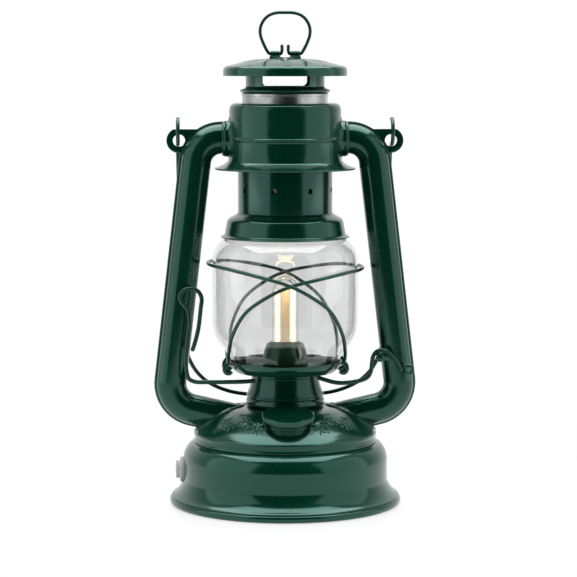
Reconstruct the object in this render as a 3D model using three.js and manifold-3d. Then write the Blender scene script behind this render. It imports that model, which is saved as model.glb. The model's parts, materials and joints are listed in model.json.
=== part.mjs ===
// Storm lantern with an electric lamp: tank base, two hollow side tubes, crown,
// sliding chimney with a hood, glass globe in a wire guard, lift lever and bail.
// Millimetres, +Z up, origin on the ground at the centre of the foot. Front is -Y.
import * as THREE from 'three';
import { mergeVertices } from 'three/addons/utils/BufferGeometryUtils.js';
import Module from 'manifold-3d';

const wasm = await Module();
wasm.setup();

// ---- driving dimensions ----
const GAP = 0.3; // between pieces that touch on the real lantern
const SHEET = 0.9; // pressed steel sheet
const ROUND = 32; // facets round a large turned piece
const SMALL_ROUND = 16;

const FOOT_R = 69.4;
const BAND_R = 61.3;
const SEAM_R = 54.4;
const SEAM_Z = 37.2;
const DOME_Z = 43.4;
const COLLAR_R = 23.4;
const COLLAR_Z = 59.1;
const SLEEVE_Z = 63.8;
const PLATE_Z = 78.5;
const PLATE_R = 34.2;
const GLOBE_R = 43.4;
const GLOBE_Z = 83.9;
const CANOPY_Z = 159.9;
const CHIMNEY_R = 28.1;
const CHIMNEY_Z = 174.5;
const SKIRT_Z = 200.3;
const CROWN_R = 33.3;
const CROWN_TOP = 239.4;
const INNER_R = 25.4;
const INNER_TOP = 244.6;
const VENT_R = 23.4;
const HOOD_R = 36.8;
const HOOD_Z = 255.4;
const RING_Z = 268.4; // turning axis of the lift ring
const RING_WIRE = 1;
const TUBE_Y = 8.8; // half depth of a side tube
const EAR_X = 63;
const EAR_Z = 217.2;
const EAR_HOLE = 3.6;
const BAIL_AXIS_Z = 222.6;
const BAIL_HOOK = 7.4;
const BAIL_WIRE = 1.2;
const GUARD_WIRE = 1.1;
const LEVER_WIRE = 1.3;
const CONTROL_Y = -12.4; // plane of the lever and the key, in front of the tubes
const PIVOT = [55.8, 88.6]; // lift lever's pin, x and z
const BUTTON_Z = 20;
const NECK_TILT = 11; // degrees, towards the front
const CAP_TOP = [-39.8, 59.4]; // y and z of the cap's top centre
const CAP_R = 15.4;
const NECK_R = 11.7;

const lantern = new THREE.Group();

// ---- materials ----
const enamel = { color: 0x0a4a36, roughness: 0.22, metalness: 0.1 };
const darkEnamel = { color: 0x0b2a20, roughness: 0.3, metalness: 0.1 };
const wireCoat = { color: 0x12211c, roughness: 0.35, metalness: 0.4 };
const zinc = { color: 0xa9adaa, roughness: 0.35, metalness: 0.9 };
const steel = { color: 0x8d9090, roughness: 0.4, metalness: 0.9 };
const plastic = { color: 0x24262a, roughness: 0.6, metalness: 0 };
const silverPlastic = { color: 0xc3c4c4, roughness: 0.35, metalness: 0.3 };
const rubber = { color: 0x18191a, roughness: 0.85, metalness: 0 };
const board = { color: 0x145a32, roughness: 0.5, metalness: 0 };
const cell = { color: 0x3c6c9a, roughness: 0.4, metalness: 0.2 };
const clear = { color: 0xdfe3e2, roughness: 0.04, metalness: 0, transparent: true, opacity: 0.35 };
const glow = { color: 0xffe2a8, roughness: 0.4, metalness: 0, emissive: 0xffb050 };
const ceramic = { color: 0xe8d9b8, roughness: 0.5, metalness: 0 };

// ---- helpers ----
function toSolid(geometry) {
  const bare = geometry.clone();
  bare.deleteAttribute('normal');
  bare.deleteAttribute('uv');
  const merged = mergeVertices(bare, 1e-4);
  const index = [];
  const raw = merged.index.array;
  for (let i = 0; i < raw.length; i += 3) {
    const [a, b, c] = [raw[i], raw[i + 1], raw[i + 2]];
    if (a !== b && b !== c && c !== a) index.push(a, b, c);
  }
  return new wasm.Manifold(new wasm.Mesh({
    numProp: 3,
    vertProperties: new Float32Array(merged.attributes.position.array),
    triVerts: new Uint32Array(index),
  }));
}

function toGeometry(solid) {
  const mesh = solid.getMesh();
  const geometry = new THREE.BufferGeometry();
  geometry.setAttribute('position', new THREE.BufferAttribute(mesh.vertProperties, 3));
  geometry.setIndex(new THREE.BufferAttribute(mesh.triVerts, 1));
  geometry.computeVertexNormals();
  return geometry;
}

function addPiece(name, solid, look, parent = lantern) {
  const mesh = new THREE.Mesh(toGeometry(solid), new THREE.MeshStandardMaterial(look));
  mesh.name = name;
  parent.add(mesh);
  return mesh;
}

// Points [radius, z] of a closed outline, or of one that starts and ends on the axis.
function turned(profile, facets = ROUND) {
  const onAxis = profile[0][0] === 0 && profile[profile.length - 1][0] === 0;
  const outline = onAxis ? profile : [...profile, profile[0]];
  let area = 0;
  for (let i = 0; i < profile.length; i += 1) {
    const [r0, z0] = profile[i];
    const [r1, z1] = profile[(i + 1) % profile.length];
    area += r0 * z1 - r1 * z0;
  }
  const points = outline.map(([r, z]) => new THREE.Vector2(r, z));
  if (area < 0) points.reverse();
  return toSolid(new THREE.LatheGeometry(points, facets).rotateX(Math.PI / 2));
}

// A turned wall: its outer face as [radius, z] from the bottom up, and a thickness inwards.
function wall(outer, thickness = SHEET, facets = ROUND) {
  const inner = outer.map(([r, z], i) => {
    const [r0, z0] = outer[Math.max(i - 1, 0)];
    const [r1, z1] = outer[Math.min(i + 1, outer.length - 1)];
    const length = Math.hypot(r1 - r0, z1 - z0);
    return [r - (thickness * (z1 - z0)) / length, z + (thickness * (r1 - r0)) / length];
  });
  return turned([...outer, ...inner.reverse()], facets);
}

// Points on an arc in a profile, angles in degrees.
function arc(centreR, centreZ, radius, from, to, steps) {
  return Array.from({ length: steps + 1 }, (_, i) => {
    const angle = THREE.MathUtils.degToRad(from + ((to - from) * i) / steps);
    return [centreR + radius * Math.cos(angle), centreZ + radius * Math.sin(angle)];
  });
}

function disc(radius, bottom, top, facets = SMALL_ROUND) {
  return turned([[0, bottom], [radius, bottom], [radius, top], [0, top]], facets);
}

function ring(inner, outer, bottom, top, facets = ROUND) {
  return turned([[inner, bottom], [outer, bottom], [outer, top], [inner, top]], facets);
}

function box(x0, x1, y0, y1, z0, z1) {
  const geometry = new THREE.BoxGeometry(x1 - x0, y1 - y0, z1 - z0);
  return toSolid(geometry.translate((x0 + x1) / 2, (y0 + y1) / 2, (z0 + z1) / 2));
}

// A rod along X or Y.
function rod(axis, radius, from, to, at, facets = 16) {
  const geometry = new THREE.CylinderGeometry(radius, radius, to - from, facets);
  geometry.translate(0, (from + to) / 2, 0);
  if (axis === 'x') geometry.rotateZ(-Math.PI / 2).translate(0, at[0], at[1]);
  if (axis === 'y') geometry.translate(at[0], 0, at[1]);
  return toSolid(geometry);
}

// Round wire through [x, y, z] points.
function wire(points, radius, steps, sides = 6) {
  const section = new THREE.Shape();
  for (let i = 0; i < sides; i += 1) {
    const angle = (2 * Math.PI * i) / sides;
    const [x, y] = [radius * Math.cos(angle), radius * Math.sin(angle)];
    if (i === 0) section.moveTo(x, y);
    else section.lineTo(x, y);
  }
  section.closePath();
  const curve = new THREE.CatmullRomCurve3(points.map((p) => new THREE.Vector3(...p)), false, 'centripetal');
  return toSolid(new THREE.ExtrudeGeometry(section, { steps, extrudePath: curve }));
}

function mirrored(solid, side) {
  return side > 0 ? solid : solid.mirror([1, 0, 0]);
}

// ---- base: foot, tank, cover and what is inside ----
function buildBase() {
  const foot = [...arc(FOOT_R - 2.2, 2.2, 2.2, -90, 90, 4), [64, 4.4], [64, 0]];
  addPiece('foot_rim', turned(foot), enamel);

  const pan = [
    [68.3, 5.2], [64.6, 7.6], [62.2, 10.8], [BAND_R, 14], [BAND_R, 27.6],
    [60.2, 31.6], [57.8, 35.2], [53.9, 36.9],
  ];
  const buttonHole = rod('x', 7.1, -BAND_R - 4, -BAND_R + 4, [0, BUTTON_Z]);
  addPiece('tank_body', wall(pan).subtract(buttonHole), enamel);
  addPiece('seam_band', turned([
    [52.9, SEAM_Z], [SEAM_R, SEAM_Z], [SEAM_R + 0.3, SEAM_Z + 0.7], [SEAM_R, SEAM_Z + 1.4],
    [SEAM_R, DOME_Z - 1.2], [SEAM_R - 0.4, DOME_Z - 0.8], [52.9, DOME_Z - 0.8],
  ]), enamel);

  addPiece('bottom_cover', ring(12, 60, 7, 8.4, 36)
    .subtract([0, 1, 2, 3].reduce((holes, i) => {
      const hole = disc(1.6, 6, 10, 12).translate([50, 0, 0]).rotate([0, 0, 45 + 90 * i]);
      return holes ? holes.add(hole) : hole;
    }, null)), plastic);
  addPiece('base_hatch', disc(11.6, 7, 8.4), plastic);
  for (let i = 0; i < 4; i += 1) {
    const screw = turned([[0, 5.2], [2.4, 5.2], [2.9, 5.8], [2.9, 6.7], [1.25, 6.7], [1.25, 14], [0, 14]], 12);
    addPiece(`cover_screw_${i + 1}`, screw.translate([50, 0, 0]).rotate([0, 0, 45 + 90 * i]), steel);
  }

  const cellR = 7.1;
  const cellY = [-17, 0, 17];
  let tray = box(-29, 29, -26.5, 26.5, 9, 17.5);
  cellY.forEach((y) => {
    tray = tray.subtract(rod('x', cellR + GAP, -26, 26, [y, 18]));
  });
  addPiece('battery_tray', tray, plastic);
  cellY.forEach((y, i) => addPiece(`battery_cell_${i + 1}`, rod('x', cellR, -25.4, 25.4, [y, 18], 20), cell));
  addPiece('circuit_board', box(-30, 30, -11, 11, 28.5, 30.1), board);

  const side = [0, BUTTON_Z];
  const bezel = rod('x', 7.6, -63.4, -61.7, side, SMALL_ROUND)
    .add(rod('x', 6.8, -62, -57.5, side, SMALL_ROUND))
    .subtract(rod('x', 5.7, -70, -50, side, SMALL_ROUND));
  addPiece('button_bezel', bezel, silverPlastic);
  addPiece('switch_body', box(-55.4, -48, -6, 6, 14, 26), plastic);
  addPiece('push_button', rod('x', 5.35, -66, -57.6, side, SMALL_ROUND), silverPlastic);
}

const domeOuter = [
  [54.2, DOME_Z + 0.2], [50, 47.4], [45, 51], [39.5, 54.4], [34, 56.8], [27.5, 58.2], [20.5, 58.8],
];

// Turn and move a piece made about the neck's own axis, its top at 0, to its place.
function onNeck(solid) {
  return solid.rotate([NECK_TILT, 0, 0]).translate([0, CAP_TOP[0], CAP_TOP[1]]);
}

function buildFiller() {
  const ribPitch = 1.8;
  const ribs = [];
  for (let w = -11.4; w < -3.2; w += ribPitch) {
    ribs.push([NECK_R - 0.3, w], [NECK_R + 0.3, w + 0.6], [NECK_R - 0.3, w + 1.2]);
  }
  const neck = [[9.9, -15.5], [NECK_R - 0.3, -15.5], ...ribs, [NECK_R - 0.3, -2.3], [9.9, -2.3]];
  addPiece('filler_neck', onNeck(turned(neck, 20)), enamel);
  addPiece('cap_liner', onNeck(ring(9.9, 12.2, -2, -1.4, SMALL_ROUND)), rubber);

  const knurls = 30;
  const outline = new THREE.Shape();
  for (let i = 0; i < 2 * knurls; i += 1) {
    const radius = i % 2 ? CAP_R : CAP_R - 0.6;
    const angle = (Math.PI * i) / knurls;
    const [x, y] = [radius * Math.cos(angle), radius * Math.sin(angle)];
    if (i === 0) outline.moveTo(x, y);
    else outline.lineTo(x, y);
  }
  const knurled = new THREE.ExtrudeGeometry(outline, { depth: 2.5, bevelEnabled: false });
  const cap = toSolid(knurled.translate(0, 0, -3))
    .add(turned([[0, -1], [CAP_R - 0.7, -1], [CAP_R - 0.7, -0.5], [CAP_R - 1.3, 0], [0, 0]], 36))
    .subtract(disc(12.7, -4, -1.1, 30));
  addPiece('filler_cap', onNeck(cap), enamel);

  const port = box(-5, 5, -2.2, 2.2, -11, -4).subtract(box(-4.2, 4.2, -1.4, 1.4, -9.5, -3));
  addPiece('charge_port', onNeck(port), steel);
  const neckBore = onNeck(disc(NECK_R + 0.9, -30, 5, 30));
  addPiece('tank_top', wall(domeOuter).subtract(neckBore), enamel);
}

// ---- burner: collar, sleeve, dome and lamp tube ----
function buildBurner() {
  addPiece('burner_collar', turned([
    [21, COLLAR_Z], [22.6, COLLAR_Z], [COLLAR_R, 60.2], [COLLAR_R, 62], [22.9, 63.4], [21, 63.4],
  ]), enamel);
  addPiece('burner_sleeve', wall([
    [23.1, SLEEVE_Z], [22.7, 66], [20.9, 71.4], [19.8, 78],
  ], 1), enamel);
  addPiece('burner_dome', wall([
    [13.2, 66], [13.2, 90], [12.4, 93.4], [9.4, 97.1],
  ], 0.9, 24), darkEnamel);
  const clip = ring(13.5, 14.1, 88.4, 95.6, 32).intersect(box(8, 20, -3, 3, 80, 100)).rotate([0, 0, -42]);
  addPiece('dome_clip', clip, zinc);
  addPiece('lamp_stem', disc(7.6, 59.6, 91.6), plastic);
  addPiece('lamp_tube', wall([
    [8, 92], [8, 128], [6.8, 132.8], [4.2, 136], [1.2, 137],
  ], 0.8, SMALL_ROUND), clear);
  addPiece('filament_carrier', box(-2.4, 2.4, -0.8, 0.8, 96.6, 129), ceramic);
  [-1, 1].forEach((side) => {
    const strip = box(-1.3, 1.3, -1.1, 1.1, 97, 128).translate([side * 4.7, 0, 0]);
    addPiece(side < 0 ? 'filament_left' : 'filament_right', strip, glow);
  });
}

// ---- side tubes ----
// Centreline of the right tube, from inside the crown to inside the tank dome.
function tubePath() {
  const path = new THREE.Path();
  const lean = Math.atan2(14.8, 126); // outwards, from the shoulder down
  const slope = THREE.MathUtils.degToRad(12.7); // lower run, down towards the centre
  const shoulder = 16;
  const heel = 17;
  path.moveTo(24, 219.3);
  path.lineTo(38, 219.3);
  path.absarc(38, 203.3, shoulder, Math.PI / 2, lean, true);
  const heelX = 69.1 - heel * Math.cos(lean);
  const heelZ = 74 - heel * Math.sin(lean);
  path.absarc(heelX, heelZ, heel, lean, -Math.PI / 2 + slope, true);
  path.lineTo(16, 46.2);
  return new THREE.CatmullRomCurve3(
    path.getSpacedPoints(60).map((p) => new THREE.Vector3(p.x, 0, p.y)),
    false,
    'centripetal',
  );
}

// Section across the tube: u outwards in the tube's plane, v front to back.
function tubeSection(grow, flange) {
  const section = new THREE.Shape();
  const sides = 12;
  const points = [];
  for (let i = 0; i < sides; i += 1) {
    const angle = (2 * Math.PI * (i + 0.5)) / sides;
    points.push([-1 + (9 + grow) * Math.cos(angle), (TUBE_Y + grow) * Math.sin(angle)]);
  }
  if (flange) {
    const edge = 0.8 + grow;
    points.unshift([9.3 + grow, edge]);
    points.push([9.3 + grow, -edge]);
  }
  points.forEach(([u, v], i) => {
    if (i === 0) section.moveTo(-u, v);
    else section.lineTo(-u, v);
  });
  section.closePath();
  return section;
}

function tubeSweep(grow, flange, steps = 22) {
  return toSolid(new THREE.ExtrudeGeometry(tubeSection(grow, flange), { steps, extrudePath: tubePath() }));
}

function buildTubes() {
  const crownCore = disc(34.6, 150, 260, ROUND);
  const domeCore = turned([
    [0, 10], [60, 10], [60, 40.4], [55.2, 43.6],
    ...domeOuter.slice(1).map(([r, z]) => [r + 0.25, z + 0.35]), [24.4, 60], [24.4, 64], [0, 64],
  ]).add(disc(24.4, 56, 64, ROUND));
  const outer = tubeSweep(0, true);
  const bore = tubeSweep(-1, false);
  const fat = tubeSweep(GAP, true);
  const eye = rod('y', EAR_HOLE, -20, 20, [EAR_X, EAR_Z], 20);
  const hollow = outer.subtract(bore).subtract(crownCore).subtract(domeCore).subtract(eye);

  const plate = rod('y', 7.5, -0.8, 0.8, [EAR_X, EAR_Z], 28)
    .add(box(48, 66, -0.8, 0.8, 212, 224))
    .subtract(box(40, 80, -2, 2, 224, 230));
  const ear = plate.subtract(fat).subtract(bore).subtract(eye);

  const inlet = toSolid(new THREE.CylinderGeometry(10.6, 13, 9, 28)
    .rotateZ(-Math.PI / 2).translate(32, 0, 218.3));
  const collar = tubeSweep(1.5, false)
    .intersect(box(34, 37.4, -20, 20, 205, 235))
    .add(inlet)
    .subtract(fat)
    .subtract(crownCore);
  const saddleCore = turned([
    [0, 10], [60, 10], [60, 42.4], [55.4, 45.4],
    ...domeOuter.slice(1).map(([r, z]) => [r + 1.2, z + 1.9]), [24.4, 60], [24.4, 64], [0, 64],
  ]);
  const saddle = tubeSweep(2, false).subtract(fat).intersect(saddleCore).subtract(domeCore);

  [['left', -1], ['right', 1]].forEach(([name, side]) => {
    addPiece(`side_tube_${name}`, mirrored(hollow, side), enamel);
    addPiece(`bail_ear_${name}`, mirrored(largest(ear), side), enamel);
    addPiece(`tube_collar_${name}`, mirrored(largest(collar), side), enamel);
    addPiece(`tube_saddle_${name}`, mirrored(largest(saddle), side), enamel);
  });
}

function largest(solid) {
  return solid.decompose().reduce((best, part) => (part.volume() > best.volume() ? part : best));
}

// ---- crown between the tubes ----
function buildCrown() {
  const shoulder = 3.5;
  const top = arc(CROWN_R - shoulder, CROWN_TOP - shoulder, shoulder, 0, 90, 3);
  const drum = [
    [34, 204.9], [CROWN_R, 208], [CROWN_R, 216.6], [34.1, 218], [CROWN_R, 219.4],
    ...top, [INNER_R + 0.5, CROWN_TOP],
  ];
  const draughtHoles = rod('x', 6.5, -60, 60, [0, 219.3], 20);
  addPiece('crown_drum', wall(drum).subtract(draughtHoles), enamel);
  addPiece('crown_skirt', wall([[42, SKIRT_Z + 0.5], [37, 202.7], [33.8, 204.6]], 0.7), enamel);
}

// ---- chimney: slides up through the crown ----
function buildChimney() {
  addPiece('chimney_canopy', wall([
    [38.5, CANOPY_Z], [35.8, 162], [34.8, 169], [CHIMNEY_R + 0.3, 174.2],
  ], 0.8), enamel);
  let tube = ring(CHIMNEY_R - 0.8, CHIMNEY_R, CHIMNEY_Z, 212);
  for (let i = 0; i < 4; i += 1) {
    const hole = rod('x', 1.65, -40, 40, [0, 188.2], 10);
    tube = tube.subtract(hole.rotate([0, 0, 29 + 45 * i]));
  }
  addPiece('chimney_tube', tube, enamel);
  addPiece('spring_seat', ring(INNER_R + GAP, 28.8, 212.3, 213.3, 32), steel);
  addPiece('inner_tube', ring(INNER_R - 0.8, INNER_R, 177, INNER_TOP), zinc);

  const turns = 3;
  const coil = Array.from({ length: turns * 12 + 1 }, (_, i) => {
    const angle = (i * Math.PI) / 6;
    return [27.3 * Math.cos(angle), 27.3 * Math.sin(angle), 214.4 + (22.8 * i) / (turns * 12)];
  });
  addPiece('chimney_spring', wire(coil, 0.7, turns * 12, 5), steel);

  addPiece('vent_ring', turned([
    [22.6, 244.9], [24.9, 244.9], [26.9, 246.2], [26.9, 248.1], [22.6, 248.1],
  ]), enamel);
  const windowHalf = 13.9;
  const windowShape = new THREE.Shape();
  windowShape.moveTo(-windowHalf, 259.6);
  windowShape.lineTo(-windowHalf, 252);
  windowShape.quadraticCurveTo(-windowHalf, 249.3, -windowHalf + 2.7, 249.3);
  windowShape.lineTo(windowHalf - 2.7, 249.3);
  windowShape.quadraticCurveTo(windowHalf, 249.3, windowHalf, 252);
  windowShape.lineTo(windowHalf, 259.6);
  windowShape.closePath();
  const windowCut = new THREE.ExtrudeGeometry(windowShape, { depth: 80, bevelEnabled: false, curveSegments: 4 });
  windowCut.translate(0, 0, -40).rotateX(Math.PI / 2);
  addPiece('vent_wall', ring(VENT_R - 0.8, VENT_R, 248.4, 262.2).subtract(toSolid(windowCut)), enamel);

  const hoodOuter = [
    [HOOD_R, HOOD_Z], [HOOD_R, 259.6], [36.2, 260.7], [32.4, 261.7], [20.4, 265.2], [0, 266.5],
  ];
  const hoodInner = [
    [0, 265.7], [20.2, 264.4], [32, 260.9], [35.6, 260], [36, 259], [36, HOOD_Z],
  ];
  let hood = turned([...hoodInner, ...hoodOuter]);
  [-1, 1].forEach((side) => {
    const [inner, outer] = side > 0 ? [3.2, 8.7] : [-8.7, -3.2];
    const roll = rod('x', 1.75, inner, outer, [0, RING_Z], 14)
      .add(box(inner, outer, -1.3, 1.3, 265.8, 267.4))
      .subtract(rod('x', 1.3, -20, 20, [0, RING_Z], 14));
    hood = hood.add(roll);
  });
  addPiece('hood', hood, enamel);
}

function buildLiftRing() {
  const half = [
    [1.9, 0, RING_Z + 4.6], [1.9, 0, RING_Z + 1.5], [2.7, 0, RING_Z], [6, 0, RING_Z], [9.2, 0, RING_Z + 0.1],
    [10.8, 0, RING_Z + 2], [13.6, 0, RING_Z + 7.8], [14.7, 0, RING_Z + 11.6], [14.5, 0, RING_Z + 15.6],
    [12.8, 0, RING_Z + 19.4], [9.8, 0, RING_Z + 22.4], [5.4, 0, RING_Z + 24], [0, 0, RING_Z + 24.4],
  ];
  const other = half.slice(0, -1).map(([x, y, z]) => [-x, y, z]).reverse();
  addPiece('lift_ring', wire([...half, ...other], RING_WIRE, 44), wireCoat);
}

// ---- globe carriage ----
function buildCarriage() {
  addPiece('globe_plate', turned([
    [14.4, 81.2], [22, PLATE_Z], [27, PLATE_Z], [33, 82.2], [PLATE_R, 85.7],
    [33.4, 85.7], [32.3, 82.8], [26.8, 79.4], [22.3, 79.4], [14.4, 82.2],
  ]), enamel);

  const glass = [
    [31.8, GLOBE_Z], [35.2, 91], [41.6, 100], [GLOBE_R, 108],
    [GLOBE_R, 145], [42.2, 151.4], [38.6, 157], [34.4, 160.6], [33.8, 163],
  ];
  addPiece('globe', wall(glass, 1.8), clear);

  // One hoop of the guard, from its foot at the left front, round the right side, to the left back.
  const front = [
    [-34.4, -9.4, 84.2], [-34.6, -18, 88.4], [-34.2, -25.6, 94.5], [-32.4, -32, 104], [-24.8, -39.4, 118.4],
    [-12.8, -44.4, 127.8], [0, -46, 134], [20.2, -41.8, 138.6], [34, -31.4, 140.8], [43, -17.5, 141.4],
  ];
  const back = front.map(([x, y, z]) => [x, -y, z]).reverse();
  const hoop = (spread, rise) => wire([...front, [46.3, 0, 141.5], ...back].map(([x, y, z]) => [
    x, y * (Math.abs(x) < 15 ? spread : 1), z + (rise * (34.6 + x)) / 80,
  ]), GUARD_WIRE, 40);
  addPiece('guard_hoop_a', hoop(1, 0), wireCoat);
  addPiece('guard_hoop_b', hoop(1.075, 2.8).mirror([1, 0, 0]), wireCoat);
}

// ---- controls ----
function buildControls() {
  const lever = [
    [19.4, 76.6], [24, 75.1], [30, 73.6], [36, 73.5], [45, 75], [48.8, 77], [50.6, 80.6], [51.2, 85.2],
    [51.8, 89], [53.4, 91.6], [56.2, 92.9], [59.6, 92.4], [62.8, 89.8], [66.4, 84.8], [68.6, 80.8],
  ];
  addPiece('lift_lever', wire(lever.map(([x, z]) => [x, CONTROL_Y, z]), LEVER_WIRE, 32), wireCoat);
  const pin = rod('y', 2.1, CONTROL_Y - 2.4, -6.9, PIVOT, 16);
  addPiece('lever_pin', pin.add(rod('y', 2.6, CONTROL_Y - 3.2, CONTROL_Y - 2, PIVOT, 16))
    .add(box(PIVOT[0] - 2, PIVOT[0] + 11, -9.8, -8.2, PIVOT[1] - 3, PIVOT[1] + 3))
    .subtract(tubeSweep(GAP, true)), enamel);
  const hook = box(70, 75.6, -13.4, -8.2, 80.4, 83.4).add(box(70, 75.6, -13.4, -11.8, 78.6, 81))
    .subtract(tubeSweep(GAP, true));
  addPiece('lever_catch', largest(hook), enamel);

  const key = [
    [-19.4, 75], [-24, 74.6], [-45, 74.4], [-54.6, 74.8], [-57.8, 76.6], [-58.9, 80], [-59.6, 87], [-59, 95],
    [-57.9, 104], [-57.2, 111], [-57.9, 117], [-60.6, 120.6], [-62.7, 124.2], [-61.7, 128], [-57.6, 130.2],
    [-52.6, 129], [-50.1, 125], [-50.6, 118], [-52.1, 106], [-54.2, 97.6], [-55.6, 93.4],
  ];
  addPiece('dimmer_key', wire(key.map(([x, z]) => [x, CONTROL_Y, z]), LEVER_WIRE, 48), wireCoat);
}

function buildBail() {
  const hook = [];
  for (let degrees = 200; degrees >= 10; degrees -= 27) {
    const angle = THREE.MathUtils.degToRad(degrees);
    hook.push([EAR_X + 0.6, -BAIL_HOOK * Math.sin(angle), BAIL_AXIS_Z - BAIL_HOOK * Math.cos(angle)]);
  }
  const leg = [
    [EAR_X + 0.6, 1.6, 215.1], [EAR_X + 0.7, 7, 214], [EAR_X + 0.7, 11, 210.6], [EAR_X + 0.6, 12.8, 204],
    [EAR_X + 0.3, 13.4, 188], [62.8, 14.6, 160], [61.8, 16.6, 125], [61, 18, 104], [59.8, 19.2, 92.6],
    [57.6, 20.6, 84.4], [53, 22.2, 76], [46.2, 23.6, 69.4], [35.5, 25, 64.2], [24, 26, 61.6],
  ];
  const right = [...hook, ...leg];
  const left = right.map(([x, y, z]) => [-x, y, z]).reverse();
  addPiece('bail', wire([...right, [0, 26.8, 60.4], ...left], BAIL_WIRE, 72), wireCoat);
}

buildBase();
buildFiller();
buildBurner();
buildTubes();
buildCrown();
buildChimney();
buildLiftRing();
buildCarriage();
buildControls();
buildBail();

export default lantern;
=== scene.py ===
import json
import math

import bmesh
import bpy
from mathutils import Matrix, Vector


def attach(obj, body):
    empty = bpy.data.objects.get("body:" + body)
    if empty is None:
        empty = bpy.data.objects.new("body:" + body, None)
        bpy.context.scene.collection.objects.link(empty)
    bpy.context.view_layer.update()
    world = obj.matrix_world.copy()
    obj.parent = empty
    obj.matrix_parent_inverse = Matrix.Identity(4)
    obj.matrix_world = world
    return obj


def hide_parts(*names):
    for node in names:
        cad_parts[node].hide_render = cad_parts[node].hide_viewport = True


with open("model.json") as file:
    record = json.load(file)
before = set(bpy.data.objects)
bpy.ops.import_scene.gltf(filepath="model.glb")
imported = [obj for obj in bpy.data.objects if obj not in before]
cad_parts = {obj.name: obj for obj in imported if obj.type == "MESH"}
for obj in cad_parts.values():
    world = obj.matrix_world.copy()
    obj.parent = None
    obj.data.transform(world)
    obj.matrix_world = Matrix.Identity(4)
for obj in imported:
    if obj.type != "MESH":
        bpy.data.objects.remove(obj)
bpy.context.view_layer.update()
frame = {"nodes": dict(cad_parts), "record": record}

MM = 0.001
SHARP_ANGLE = 38
UP_Y = Vector((0, 1, 0))
UP_Z = Vector((0, 0, 1))
NODES = frame["nodes"]


# ---------------------------------------------------------------- shape helpers (millimetres)
def metre_mesh(name, verts, faces, merge=False):
    """A mesh in metres, its normals facing out, from points in millimetres."""
    mesh = bpy.data.meshes.new(name)
    mesh.from_pydata([Vector(v) * MM for v in verts], [], faces)
    work = bmesh.new()
    work.from_mesh(mesh)
    if merge:
        bmesh.ops.remove_doubles(work, verts=work.verts, dist=1e-6)
    bmesh.ops.recalc_face_normals(work, faces=work.faces)
    work.to_mesh(mesh)
    work.free()
    return mesh


def build(name, verts, faces, body, slot, replaces=(), sharp=SHARP_ANGLE, material=None):
    """Makes one smooth-shaded piece from points in millimetres, riding on a body."""
    mesh = metre_mesh(name, verts, faces, merge=True)
    mesh.shade_smooth()
    mesh.set_sharp_from_angle(angle=math.radians(sharp))
    piece = bpy.data.objects.new(name, mesh)
    bpy.context.scene.collection.objects.link(piece)
    mesh.materials.append(material or SLOT_MATERIAL[slot])
    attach(piece, body)
    if replaces:
        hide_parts(*replaces)
    return piece


def softened(points, radius, closed=False, steps=4):
    """Rounds the corners of an outline of [r, z] points."""
    count = len(points)
    result = []
    for i, point in enumerate(points):
        here = Vector(point)
        if not closed and i in (0, count - 1):
            result.append(here)
            continue
        before = Vector(points[(i - 1) % count])
        after = Vector(points[(i + 1) % count])
        back, ahead = before - here, after - here
        cut = min(radius, 0.45 * back.length, 0.45 * ahead.length)
        start = here + back.normalized() * cut
        end = here + ahead.normalized() * cut
        for k in range(steps + 1):
            t = k / steps
            result.append(start * (1 - t) ** 2 + here * (2 * t * (1 - t)) + end * t ** 2)
    return [(p.x, p.y) for p in result]


def wall(outer, thickness):
    """The closed outline of a sheet whose outer face is given from the bottom up."""
    inner = []
    for i, (r, z) in enumerate(outer):
        r0, z0 = outer[max(i - 1, 0)]
        r1, z1 = outer[min(i + 1, len(outer) - 1)]
        length = math.hypot(r1 - r0, z1 - z0) or 1.0
        inner.append((max(r - thickness * (z1 - z0) / length, 0.0), z + thickness * (r1 - r0) / length))
    return outer + inner[::-1]


def grid_faces(columns, rows, all_round=True, closed=True):
    """Faces of columns of rows points each, closed round the columns, the rows or both."""
    faces = []
    for i in range(columns if all_round else columns - 1):
        j = (i + 1) % columns
        for k in range(rows if closed else rows - 1):
            m = (k + 1) % rows
            faces.append((i * rows + k, j * rows + k, j * rows + m, i * rows + m))
    return faces


def turned(profile, closed=True, facets=160, shape=None):
    """Points and faces of an outline turned about Z; shape(r, z, angle) may move a point."""
    verts = []
    for i in range(facets):
        angle = 2 * math.pi * i / facets
        for r, z in profile:
            radius, height = shape(r, z, angle) if shape else (r, z)
            verts.append((radius * math.cos(angle), radius * math.sin(angle), height))
    return verts, grid_faces(facets, len(profile), closed=closed)


def smooth_path(points, per=6):
    """A centripetal curve through the points, with about the same detail between each two."""
    pts = [Vector(p) for p in points]
    ext = [2 * pts[0] - pts[1]] + pts + [2 * pts[-1] - pts[-2]]
    result = []
    for i in range(1, len(ext) - 2):
        p0, p1, p2, p3 = ext[i - 1:i + 3]
        t1 = max((p1 - p0).length, 1e-6) ** 0.5
        t2 = t1 + max((p2 - p1).length, 1e-6) ** 0.5
        t3 = t2 + max((p3 - p2).length, 1e-6) ** 0.5
        for k in range(per):
            t = t1 + (t2 - t1) * k / per
            a1 = p0 * ((t1 - t) / t1) + p1 * (t / t1)
            a2 = p1 * ((t2 - t) / (t2 - t1)) + p2 * ((t - t1) / (t2 - t1))
            a3 = p2 * ((t3 - t) / (t3 - t2)) + p3 * ((t - t2) / (t3 - t2))
            b1 = a1 * ((t2 - t) / t2) + a2 * (t / t2)
            b2 = a2 * ((t3 - t) / (t3 - t1)) + a3 * ((t - t1) / (t3 - t1))
            result.append(b1 * ((t2 - t) / (t2 - t1)) + b2 * ((t - t1) / (t2 - t1)))
    result.append(pts[-1])
    return result


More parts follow.
